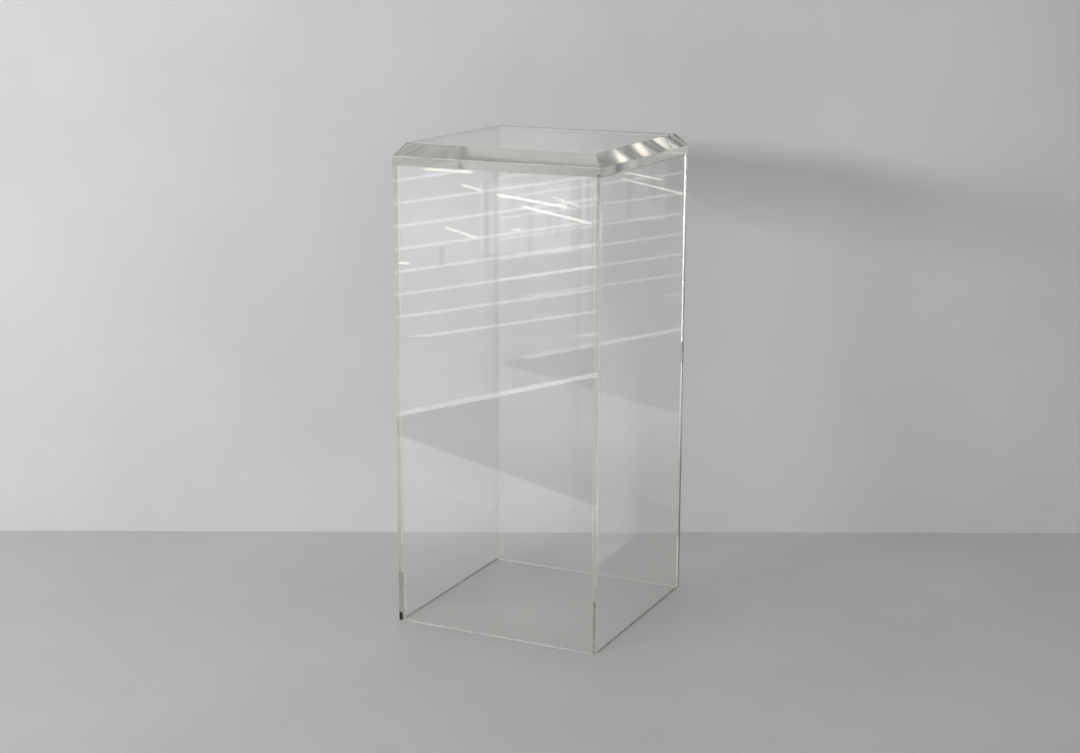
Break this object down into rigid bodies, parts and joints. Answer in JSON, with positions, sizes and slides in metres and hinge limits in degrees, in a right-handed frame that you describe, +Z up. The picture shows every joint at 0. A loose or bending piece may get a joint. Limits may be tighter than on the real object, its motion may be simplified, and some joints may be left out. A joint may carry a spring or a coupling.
{
  "type": "display pedestal",
  "caption": "Square display pedestal in clear acrylic sheet: a thick bevelled top slab on thin cemented side sheets, open underneath.",
  "frame": {"origin": "on the floor, under the middle of the pedestal", "axes": "+Z up; -Y is the front, where a full-width sheet faces; +X to the right"},
  "size_m": [0.305, 0.305, 0.675],
  "materials": {
    "clear_acrylic": "polished",
    "cured_cement": "gloss"
  },
  "bodies": {
    "root": {"top_slab": "clear_acrylic", "front_panel": "clear_acrylic", "back_panel": "clear_acrylic", "left_panel": "clear_acrylic", "right_panel": "clear_acrylic", "front_left_cement": "cured_cement", "front_right_cement": "cured_cement", "back_left_cement": "cured_cement", "back_right_cement": "cured_cement", "slab_cement": "cured_cement"}
  },
  "joints": []
}
